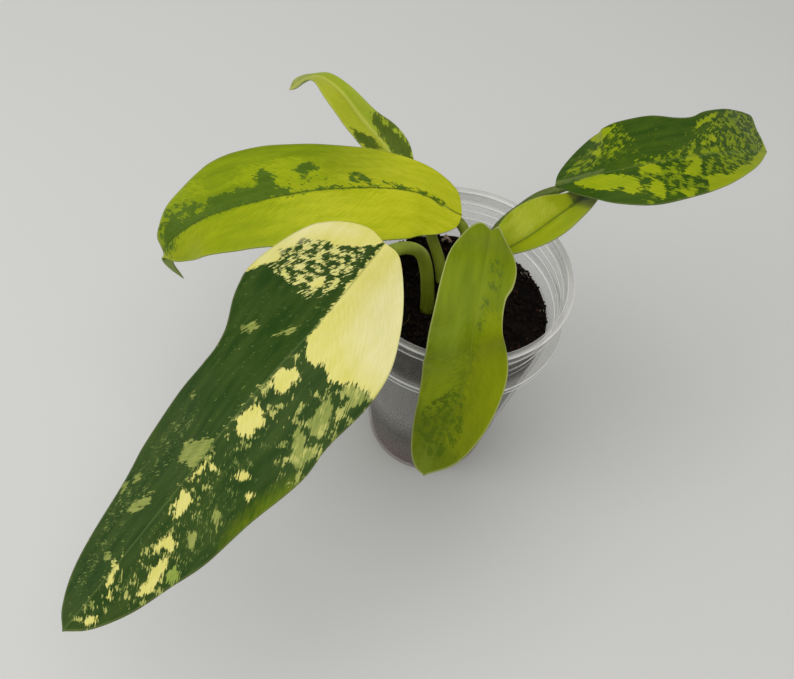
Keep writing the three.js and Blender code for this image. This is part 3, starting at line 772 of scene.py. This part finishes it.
OLIVE = leaf_material(
    "leaf_olive", ((0.115, 0.165, 0.001), (0.16, 0.21, 0.002)),
    [
        ("left", ((0.17, 0.22, 0.001), (0.21, 0.255, 0.002)), 1.2, 3),
        ("light", ((0.15, 0.21, 0.007), (0.175, 0.235, 0.014)), 1.2, 4),
        # Painted light: lighter tones on the blade's steep part, not the leaf's own colour.
        ("steep_painted_light", ((0.22, 0.30, 0.001), (0.26, 0.33, 0.002)), 1.2, 6),
        ("shade", ((0.085, 0.13, 0.004), (0.10, 0.15, 0.008)), 0.6, 1.2, 0.03),
        ("dark", ((0.08, 0.135, 0.001), (0.11, 0.17, 0.002)), 1.1, 0.5, 0.0),
    ],
    ((0.10, 0.15, 0.002), 0.35), ((0.21, 0.26, 0.02), 0.25, 0.25), margin=0.6)
print("leaf materials:", [new.name for new in (CREAM_GREEN, LIME, BACK_LIME, MARBLED, CHANNELLED_LIME, OLIVE)])

# %% [markdown]
# A petiole is a tapering stalk, flattened on its upper side, that widens into a sheath where it clasps
# the stem. Its section is carried along the CAD part's own route and sinks into the rib's ridge under the
# blade.

# %% Petioles
PETIOLE_STEPS = 70
PETIOLE_SIDES = 28
SHEATH_SHARE = 0.22
SHEATH_SWELL = 0.08
SUNK_AT = np.array([0.03, 0.08, 0.14])
SUNK_BY = np.array([0.85, 0.85, 0.8])
SUNK_MORE = 0.15
TAPER_AT, TAPER_TO = (0, 0.7, 0.86, 1), (1, 0.9, 0.72, 0.3)
UPPER_FLATNESS = 0.82


def tube(name, centre, side, radius, sides, flat=1):
    """Section point = centre + side * r cos(angle) + over * r sin(angle), flattened where over is positive."""
    over = np.cross(side, unit(np.gradient(centre, axis=0)))
    angle = np.linspace(0, 2 * np.pi, sides, endpoint=False)[None, :, None]
    squash = np.where(np.sin(angle) > 0, flat, 1)
    ring = side[:, None] * np.cos(angle) + over[:, None] * np.sin(angle) * squash
    rings = (centre[:, None] + ring * radius) * MM
    return ring_skin(name, rings, centre[0] * MM, centre[-1] * MM)


def petiole(leaf, name):
    """The radius falls from the sheath to the blade and on to nothing under it."""
    sheet = Sheet(leaf)
    point, right, normal = sheet.rib(SUNK_AT * sheet.length)
    sink = leaf["radius"] * SUNK_BY[:, None] + SUNK_MORE
    share = np.linspace(0, 1, PETIOLE_STEPS)
    centre, _ = even_path(np.vstack([leaf["petiole"], point - normal * sink]), share)
    side = square_to(unit(np.gradient(centre, axis=0)), right[0])
    sheath = 1 + SHEATH_SWELL * np.exp(-((share / SHEATH_SHARE) ** 2))
    radius = leaf["radius"] * sheath * np.interp(share, TAPER_AT, TAPER_TO)
    return tube(name, centre, side, radius[:, None, None], PETIOLE_SIDES, UPPER_FLATNESS)


def stalk_material(name, low, high):
    def paint(wire):
        drawn = wire.noise(wire.place((900, 900, 130)))
        patch = wire.noise(wire.place((120, 120, 60)), detail=2)
        colour = wire.blend(patch.above(0.5, 0.3), low, high)
        return {
            "Base Color": wire.blend(drawn.above(0.6, 0.2) * 0.3, colour, (0.30, 0.36, 0.05)),
            "Roughness": 0.40 + drawn * 0.16,
            "Normal": wire.bump(drawn, 0.0001, 0.4),
            "Specular IOR Level": 0.3,
        }

    return material(name, paint)


LIME_STALK = stalk_material("stalk_lime", (0.16, 0.205, 0.008), (0.25, 0.30, 0.018))
DARK_STALK = stalk_material("stalk_dark", (0.055, 0.085, 0.008), (0.10, 0.14, 0.012))
# CAD node, first word of the pieces' names, leaf, materials of blade and petiole, slot of both
PLANT = [
    ("leaf_front_left_cream", "front_left", FRONT_LEFT, CREAM_GREEN, LIME_STALK, "leaf_cream_green"),
    ("leaf_upper_left_lime", "upper_left", UPPER_LEFT, LIME, LIME_STALK, "leaf_lime"),
    ("leaf_back_small", "back", BACK, BACK_LIME, LIME_STALK, "leaf_lime"),
    ("leaf_right_marbled", "right", RIGHT, MARBLED, DARK_STALK, "leaf_marbled"),
    ("leaf_right_channelled", "channelled", CHANNELLED, CHANNELLED_LIME, LIME_STALK, "leaf_lime"),
    ("leaf_front_hanging", "hanging", HANGING, OLIVE, LIME_STALK, "leaf_olive"),
]
for node, word, leaf, finish, stalk, slot in PLANT:
    settle(blade(leaf, word + "_blade"), finish, node)
    settle(petiole(leaf, word + "_petiole"), stalk, node)

# %% [markdown]
# The stem is short and mostly buried. It bulges at its nodes, where old leaves left pale ring scars, so
# its radius is a sum of a taper and two low bumps, and the scars are bands of colour by height.

# %% Stem
STEM_CENTRE = (0, 3)
STEM_RADIUS = 4.5
STEM_FOOT, STEM_TOP = 60, 87
TIP_LENGTH = 3
SCAR_HEIGHTS = (77.5, 81.5)
SCAR_SWELL, SCAR_WIDTH = 0.12, 0.7
STEM_TAPER_AT, STEM_TAPER_TO = (STEM_FOOT, 66, 72, STEM_TOP - TIP_LENGTH), (0.78, 0.93, 0.97, 0.86)
STEM_ROWS, TIP_ROWS, STEM_COLUMNS = 70, 16, 48


def stem():
    """Radius by height: a taper, two bumps at the scars and a rounded tip."""
    neck = STEM_TOP - TIP_LENGTH
    tip = np.linspace(neck + 0.1, STEM_TOP, TIP_ROWS)[:-1]
    height = np.concatenate([np.linspace(STEM_FOOT, neck, STEM_ROWS), tip])
    radius = np.interp(height, STEM_TAPER_AT, STEM_TAPER_TO) * STEM_RADIUS
    for scar in SCAR_HEIGHTS:
        radius += SCAR_SWELL * np.exp(-(((height - scar) / SCAR_WIDTH) ** 2))
    radius *= np.sqrt(1 - np.clip((height - neck) / TIP_LENGTH, 0, 1) ** 2)
    rings = level_rings(radius, height, STEM_COLUMNS) + np.array([*STEM_CENTRE, 0])
    return ring_skin("stem_body", rings * MM, *(np.array([*STEM_CENTRE, z]) * MM for z in (STEM_FOOT, STEM_TOP)))


def stem_paint(wire):
    height = wire.place(MILLIMETRES).part(2)
    drawn = wire.noise(wire.place((700, 700, 160)))
    colour = wire.blend(drawn.above(0.5, 0.3), (0.11, 0.15, 0.01), (0.19, 0.23, 0.03))
    for scar in SCAR_HEIGHTS:
        away = (height - scar).math("ABSOLUTE")
        colour = wire.blend((1 - away.above(0.4, 0.3)) * 0.6, colour, (0.34, 0.31, 0.16))
    return {"Base Color": colour, "Roughness": 0.45 + drawn * 0.15, "Normal": wire.bump(drawn, 0.0002, 0.5)}


settle(stem(), material("stem_green", stem_paint), "stem")

# %% [markdown]
# The potting mix is dark, wet and crumbly. Its body fills the cup with a lumpy top, and loose crumbs,
# a few chips, pale grains and tan fibres lie on it. One seeded random source places all of it.

# %% Potting mix body
random = np.random.default_rng(11)
MIX_TOP = 75
MIX_LIP = 1.3
MIX_FLOOR = 1.35
MIX_FOOT_RADIUS = 22.1
MIX_EDGE_RADIUS = 31.5
MIX_COLUMNS = 150
MIX_WALL_ROWS, MIX_TOP_ROWS = 46, 78
LUMPS = 420
LUMP_STRENGTH, HIGHEST_LUMP = 0.6, 1.25
WALL_ROUGHNESS = 0.12
HOLES = [(*STEM_CENTRE, STEM_RADIUS + 0.3), (-8, -2.4, 2.7)]
DIP_STEEPNESS, DIP_RIM, DIP_WIDTH = 2.5, 0.6, 1.2
lump_angle = random.uniform(0, 2 * np.pi, LUMPS)
lump_out = MIX_EDGE_RADIUS * np.sqrt(random.uniform(0, 1, LUMPS))
lump_width = random.uniform(0.7, 2.6, LUMPS)
lump_height = random.uniform(-0.9, 1.3, LUMPS)


def mix_height(x, y):
    """The mix's top: a level plane, a sum of round lumps and dents, and a dip at each hole."""
    away = (x[..., None] - lump_out * np.cos(lump_angle)) ** 2 + (y[..., None] - lump_out * np.sin(lump_angle)) ** 2
    top = MIX_TOP + (lump_height * np.exp(-away / lump_width**2)).sum(-1) * LUMP_STRENGTH
    top = np.clip(top, MIX_TOP - MIX_LIP, MIX_TOP + HIGHEST_LUMP)
    for hole_x, hole_y, radius in HOLES:
        top -= DIP_STEEPNESS * np.clip(DIP_RIM + radius - np.hypot(x - hole_x, y - hole_y), 0, DIP_WIDTH)
    return top


def mix_body():
    """Rings up the wall from the floor, and in over the crumbled top."""
    radius = np.linspace(MIX_FOOT_RADIUS, MIX_EDGE_RADIUS, MIX_WALL_ROWS)[:, None]
    rough = WALL_ROUGHNESS * random.standard_normal((MIX_WALL_ROWS, MIX_COLUMNS))
    height = np.linspace(MIX_FLOOR, MIX_TOP - MIX_LIP, MIX_WALL_ROWS)
    side = level_rings(np.minimum(radius + rough, radius), height, MIX_COLUMNS)
    inward = np.linspace(0.992, 0.01, MIX_TOP_ROWS) * MIX_EDGE_RADIUS
    top = level_rings(inward, inward, MIX_COLUMNS)
    top[..., 2] = mix_height(top[..., 0], top[..., 1])
    poles = [np.array([0, 0, z]) * MM for z in (MIX_FLOOR, MIX_TOP - 4)]
    return ring_skin("mix_body", np.concatenate([side, top]) * MM, *poles)


def mix_paint(wire):
    grit = wire.noise(wire.place((900, 900, 900)), detail=6, roughness=0.7)
    clump = wire.noise(wire.place((260, 260, 260)))
    on_top = wire.place(MILLIMETRES).part(2).above(MIX_TOP - 3, 2)
    colour = wire.blend(clump.above(0.5, 0.3), (0.0018, 0.0012, 0.001), (0.008, 0.0045, 0.003))
    colour = wire.blend(grit.above(0.68, 0.08) * on_top, colour, (0.045, 0.018, 0.010))
    return {
        "Base Color": wire.blend(on_top, (0.010, 0.006, 0.004), colour),
        "Roughness": 0.8 + grit * 0.2,
        "Specular IOR Level": 0.12,
        "Normal": wire.bump((grit * 0.6 + clump) * on_top, 0.0011, 0.9),
    }


settle(mix_body(), material("potting_mix_dark", mix_paint), "potting_mix")

# %% [markdown]
# Crumbs are all one small lump, stretched and turned differently. Arrays do that in one go: the lump's
# corners times each crumb's own matrix, set down on the mix where it lies. Along the wall they bunch up.

# %% Crumbs and chips
CRUMB_ROUGHNESS = (0.62, 1.15)
HOLE_CLEARANCE = 1.8
BUNCH_SIZE, BUNCH_SPREAD = 6, 0.05


def lump_shape():
    """A ball of 42 points: a geodesic sphere with one subdivision."""
    shape = bmesh.new()
    bmesh.ops.create_icosphere(shape, subdivisions=2, radius=1)
    corners = np.array([vertex.co[:] for vertex in shape.verts])
    faces = np.array([[vertex.index for vertex in face.verts] for face in shape.faces])
    shape.free()
    return corners, faces


def random_turns(count):
    """Rotation matrices from random unit quaternions."""
    return np.array([Quaternion(four).to_matrix() for four in unit(random.standard_normal((count, 4)))])


def free_spots(count, reach):
    """Random places on the mix, clear of the stem and the buried petiole."""
    angle = random.uniform(0, 2 * np.pi, 3 * count)
    radius = reach * np.sqrt(random.uniform(0, 1, 3 * count))
    x, y = radius * np.cos(angle), radius * np.sin(angle)
    clear = np.ones(len(x), bool)
    for hole_x, hole_y, hole_radius in HOLES:
        clear &= np.hypot(x - hole_x, y - hole_y) > hole_radius + HOLE_CLEARANCE
    return x[clear][:count], y[clear][:count]


def edge_spots(count, near, far):
    """Random places along the cup's wall, in loose bunches, between two radii."""
    bunch = random.uniform(0, 2 * np.pi, count // BUNCH_SIZE)
    angle = random.choice(bunch, count) + random.normal(0, BUNCH_SPREAD, count)
    radius = random.uniform(near, far, count)
    return radius * np.cos(angle), radius * np.sin(angle)


def scatter(name, sizes, stretch, spots, lift):
    """Many lumps as one mesh: corner = place + turn @ (stretch * size * rough corner)."""
    corners, faces = lump_shape()
    x, y = spots
    count = len(x)
    size = random.uniform(*sizes, count)
    scale = size[:, None] * random.uniform(*stretch, (count, 3))
    rough = corners[None] * random.uniform(*CRUMB_ROUGHNESS, (count, len(corners), 1))
    shaped = np.einsum("nij,nkj->nki", random_turns(count), rough * scale[:, None])
    place = np.stack([x, y, mix_height(x, y) + lift * size + random.uniform(0, lift, count)], -1)
    vertices = (shaped + place[:, None]).reshape(-1, 3) * MM
    shifted = (faces[None] + len(corners) * np.arange(count)[:, None, None]).reshape(-1, 3)
    return new_piece(name, vertices.tolist(), shifted.tolist())


def chip_material(name, low, high):
    def paint(wire):
        grain = wire.noise(wire.place((1500, 1500, 700)), detail=4)
        patch = wire.noise(wire.place((350, 350, 350)), detail=1)
        return {
            "Base Color": wire.blend(patch.above(0.5, 0.5), low, high),
            "Roughness": 0.75 + grain * 0.2,
            "Specular IOR Level": 0.15,
            "Normal": wire.bump(grain, 0.0004, 0.8),
        }

    return material(name, paint)


CRUMB = chip_material("crumb_dark", (0.0025, 0.0016, 0.0012), (0.012, 0.006, 0.004))
BARK = chip_material("bark_brown", (0.018, 0.007, 0.004), (0.042, 0.016, 0.009))
PALE_CHIP = chip_material("pale_chip", (0.20, 0.12, 0.09), (0.40, 0.30, 0.24))
PALE_GRAIN = chip_material("pale_grain", (0.14, 0.12, 0.10), (0.34, 0.31, 0.28))
CRUMB_REACH = MIX_EDGE_RADIUS - 1.2
CHUNK_SPOTS = (np.array([-8.4, -7.2, -6.0, -7.6]), np.array([27.4, 28.2, 27.2, 28.8]))
# name, material, size in mm, stretch, places, share of its size that a lump is lifted by
PIECES = [
    ("mix_crumbs", CRUMB, (0.35, 1.1), (0.6, 1.25), free_spots(900, CRUMB_REACH), 0.25),
    ("mix_edge_crumbs", CRUMB, (0.25, 0.75), (0.6, 1.2), edge_spots(420, 29.4, 31.0), 0.7),
    ("mix_bark", BARK, (0.3, 0.8), (0.4, 1.6), free_spots(120, CRUMB_REACH), 0.3),
    ("mix_grains", PALE_GRAIN, (0.14, 0.34), (0.7, 1.2), edge_spots(110, 28.5, 31.1), 0.8),
    ("mix_chunk", PALE_CHIP, (0.9, 1.5), (0.45, 1.3), CHUNK_SPOTS, 0.3),
]
for name, finish, *how in PIECES:
    settle(scatter(name, *how), finish, "potting_mix")

# %% [markdown]
# A few tan fibres lie among the crumbs. Each is a short bent strand whose two ends sink in.

# %% Fibres
FIBRE_COUNT, FIBRE_SIDES, FIBRE_STEPS = 7, 7, 24
FIBRE_RADIUS = 0.13
FIBRE_LIFT, FIBRE_DIP = 0.45, 0.7
FIBRE_REACH, FIBRE_BOW = (1.6, 3.2), 0.36


def fibre(index):
    """A slow curve on the mix: a parabola of random heading and bow, which dips at its ends."""
    x, y = (spot[0] for spot in free_spots(3, MIX_EDGE_RADIUS - 6))
    heading, bow = random.uniform(0, 2 * np.pi), random.uniform(-FIBRE_BOW, FIBRE_BOW)
    t = np.linspace(-1, 1, FIBRE_STEPS)
    reach = random.uniform(*FIBRE_REACH)
    route_x = x + reach * (t * np.cos(heading) - bow * t**2 * np.sin(heading))
    route_y = y + reach * (t * np.sin(heading) + bow * t**2 * np.cos(heading))
    centre = np.stack([route_x, route_y, mix_height(route_x, route_y) + FIBRE_LIFT - FIBRE_DIP * t**4], -1)
    side = unit(np.cross(unit(np.gradient(centre, axis=0)), UP))
    return tube(f"mix_fibre_{index}", centre, side, FIBRE_RADIUS, FIBRE_SIDES)


FIBRE = chip_material("fibre_tan", (0.06, 0.030, 0.016), (0.13, 0.075, 0.045))
for index in range(FIBRE_COUNT):
    settle(fibre(index), FIBRE, "potting_mix")

# %% [markdown]
# The cup is thin see-through plastic, drawn out of a sheet over a ringed mould. Fine rings run round the
# tapering wall, a little over a millimetre apart, and four bolder ones round the inside of the collar. They
# are real relief in the turned profile, and the plastic is cloudier along each crest. The crests are also
# painted near white, a painted highlight for the light that real plastic catches there.

# %% Cup profile
CUP_HEIGHT = 95
FOOT_RADIUS = 23
WALL = 0.8
COLLAR_RADIUS = 34
RIM_RADIUS = 35.5
RING_LOW, RING_HIGH, RING_RADIUS = 75.5, 80.5, 36.3
WALL_TOP_RADIUS = COLLAR_RADIUS - 1.2
RIB_PITCH = 1.35
RIB_DEPTH = 0.12
RIBS_LOW, RIBS_HIGH = 34, 74
COLLAR_RINGS = (79.4, 83, 86.5, 90)
COLLAR_RING_DEPTH = 0.2
COLLAR_RING_HALF = 0.75
CUP_COLUMNS = 150


def wall_radius(height):
    return FOOT_RADIUS + (WALL_TOP_RADIUS - FOOT_RADIUS) * height / RING_LOW


def ribbed(height):
    """Fine rings: a raised cosine that fades in and out at the ends of the ribbed part."""
    inside = np.clip((height - RIBS_LOW) / 2, 0, 1) * np.clip((RIBS_HIGH - height) / 2, 0, 1)
    return RIB_DEPTH * inside * (0.5 - 0.5 * np.cos(2 * np.pi * height / RIB_PITCH))


def ringed(height):
    """Bold rings: one narrow round crest at each of the collar's ring heights."""
    away = (height[:, None] - np.array(COLLAR_RINGS)) / COLLAR_RING_HALF
    return COLLAR_RING_DEPTH * np.exp(-(away**2)).sum(1)


def cup_profile():
    """Radius and height pairs: out over the foot, up the outside, over the lip, down the inside."""
    corner = np.linspace(0, np.pi / 2, 6)
    foot = np.stack([FOOT_RADIUS - 1 + np.sin(corner), 1 - np.cos(corner)], -1)
    outer = np.arange(1.2, RING_LOW - 0.9, RIB_PITCH / 5)
    side = np.stack([wall_radius(outer) + ribbed(outer), outer], -1)
    stacking_ring = [(-0.25, -0.25), (0, 0.2), (-0.12, 0.6), (0, 1), (-0.12, 1.4), (-0.1, 1.8)]
    ring = [(RING_RADIUS + step, RING_LOW + rise) for step, rise in stacking_ring]
    ring += [(RING_RADIUS - 0.5, RING_HIGH - 1.6), (RING_RADIUS - 0.7, RING_HIGH - 0.8)]
    ring += [(COLLAR_RADIUS + 0.5, RING_HIGH)]
    band = [(COLLAR_RADIUS + 0.12, rise) for rise in np.linspace(RING_HIGH + 0.3, CUP_HEIGHT - 4.6, 8)]
    lip_low, lip_middle = CUP_HEIGHT - 3.9, CUP_HEIGHT - 1
    lip = [(COLLAR_RADIUS + 0.6, lip_low), (RIM_RADIUS - 0.3, lip_low + 0.1), (RIM_RADIUS, lip_low + 0.5)]
    lip += [(RIM_RADIUS - 0.25, lip_low + 1.3), (RIM_RADIUS, lip_middle)]
    lip += [(RIM_RADIUS - 1 + np.cos(a), lip_middle + np.sin(a)) for a in np.linspace(0.2, np.pi / 2, 6)]
    lip += [(COLLAR_RADIUS - WALL + 0.5, CUP_HEIGHT), (COLLAR_RADIUS - WALL + 0.1, CUP_HEIGHT - 0.5)]
    inner = np.arange(CUP_HEIGHT - 1, RING_LOW, -0.2)
    plain = np.interp(inner, [RING_LOW, RING_HIGH], [WALL_TOP_RADIUS - WALL, COLLAR_RADIUS - WALL])
    inside = np.stack([plain - ringed(inner), inner], -1)
    inner_wall = np.linspace(RING_LOW - 0.5, 1.2, 40)
    wall = np.stack([wall_radius(inner_wall) - WALL, inner_wall], -1)
    outside = np.vstack([foot, side, ring, band, lip])
    return np.vstack([outside, inside, wall, (FOOT_RADIUS - WALL - 0.3, 1)]), len(outside)


def cup():
    profile, outside = cup_profile()
    rings = level_rings(*profile.T, CUP_COLUMNS) * MM
    piece = ring_skin("cup_shell", rings, np.zeros(3), np.array([0, 0, 1]) * MM)
    inner = np.repeat(np.arange(len(profile)) >= outside, CUP_COLUMNS)
    point_layer(piece, "inner", np.append(inner, [0, 1]))
    return piece


# %% [markdown]
# Opacity is a plain mix here, because bent light adds nothing in so thin a wall. Real plastic gathers
# daylight along an edge, and that light is painted here: the crests of the collar, the lip and the stacking
# ring are painted near white and given a weak glow, and the fine rings are painted whiter too, without the
# glow. The collar's inner crests are painted only on the far side of the cup. Further down the wall turns
# hazy, and the mix shows through it brown at the foot.


# %% Cup plastic
def cup_paint(wire):
    where = wire.place(MILLIMETRES)
    front, height = where.part(1), where.part(2)
    outer = 1 - wire.layer("inner")
    crest = (height * (2 * math.pi / RIB_PITCH)).math("COSINE") * -0.5 + 0.5
    fine = crest * height.above(RIBS_LOW, 14) * (1 - height.above(RIBS_HIGH, 2))
    # Painted highlight: the bold inner rings are drawn only on the far side of the cup, where the light catches
    # them.
    bold = sum(height.line(centre, 1.2) for centre in COLLAR_RINGS) * wire.layer("inner") * front.above(-25, 12)
    lip = height.above(CUP_HEIGHT - 4, 0.5)
    bead = sum(height.line(CUP_HEIGHT - drop, 1.6) for drop in (0.5, 3.4))
    hoop = sum(height.line(RING_LOW + rise, 1.7) for rise in (0.3, 2.1)) * outer
    band = height.above(RING_LOW + 1, 1) * (1 - height.above(RING_HIGH - 1, 3)) * outer
    haze = wire.noise(wire.place((60, 60, 25)))
    foot = 1 - height.above(17, 16)
    low = 1 - height.above(RING_LOW, 2)
    shell = 0.11 + low * 0.03 + haze * 0.06 + foot * 0.14 + band * 0.12
    see = shell + fine * 0.16 + bold * 0.7 + lip * 0.15 + bead * 0.5 + hoop * 0.5
    colour = wire.blend(haze.above(0.5, 0.5), (0.40, 0.385, 0.35), (0.50, 0.48, 0.44))
    colour = wire.blend(foot * 0.85, colour, (0.32, 0.24, 0.215))
    # Painted highlight: the fine rings, the collar's crests, the lip's beads and the stacking ring are painted near
    # white.
    colour = wire.blend((fine * 0.6 + bold * 1.5 + bead + hoop).clamped(), colour, (0.95, 0.95, 0.93))
    return {
        "Base Color": colour,
        "Alpha": see.clamped(),
        # Painted light: the crests glow weakly, though the plastic is no lamp.
        "Emission Color": bold * 0.32 + bead * 0.06 + hoop * 0.15,
        "Emission Strength": 1.0,
        "Roughness": 0.26 + haze * 0.12,
        "Specular IOR Level": 0.4,
        "IOR": 1.46,
    }


settle(cup(), material("cup_plastic", cup_paint), "cup")

# %% [markdown]
# The set: a pale floor, one broad soft light above and in front, and a weaker one from the left, as by a
# window. A plain grey world fills the shadows.

# %% Floor and lights
FLOOR_HALF = 1.6
FLOOR_COLOUR = (0.58, 0.58, 0.565, 1)
corners = [(x * FLOOR_HALF, y * FLOOR_HALF, 0) for x, y in ((-1, -1), (1, -1), (1, 1), (-1, 1))]
floor = new_piece("floor", corners, [(0, 1, 2, 3)])
floor.data.materials.append(material("floor_pale", lambda wire: {"Base Color": FLOOR_COLOUR, "Roughness": 0.9}))


def soft_light(name, place, aim, size, power):
    data = bpy.data.lights.new(name, "AREA")
    data.size, data.energy = size, power
    light = bpy.data.objects.new(name, data)
    bpy.context.collection.objects.link(light)
    turn = (Vector(aim) - Vector(place)).to_track_quat("-Z", "Y")
    light.matrix_world = Matrix.Translation(place) @ turn.to_matrix().to_4x4()


soft_light("key", (-0.1, -0.2, 1.05), (0, 0, 0.08), 1.3, 8.5)
soft_light("side", (-0.8, -0.45, 0.6), (0, 0, 0.08), 0.8, 3.2)
world = bpy.data.worlds.new("soft_world")
world.use_nodes = True
background = world.node_tree.nodes["Background"]
background.inputs["Color"].default_value = (0.86, 0.86, 0.85, 1)
background.inputs["Strength"].default_value = 0.5
bpy.context.scene.world = world
print("lights:", [light.name for light in bpy.data.lights])
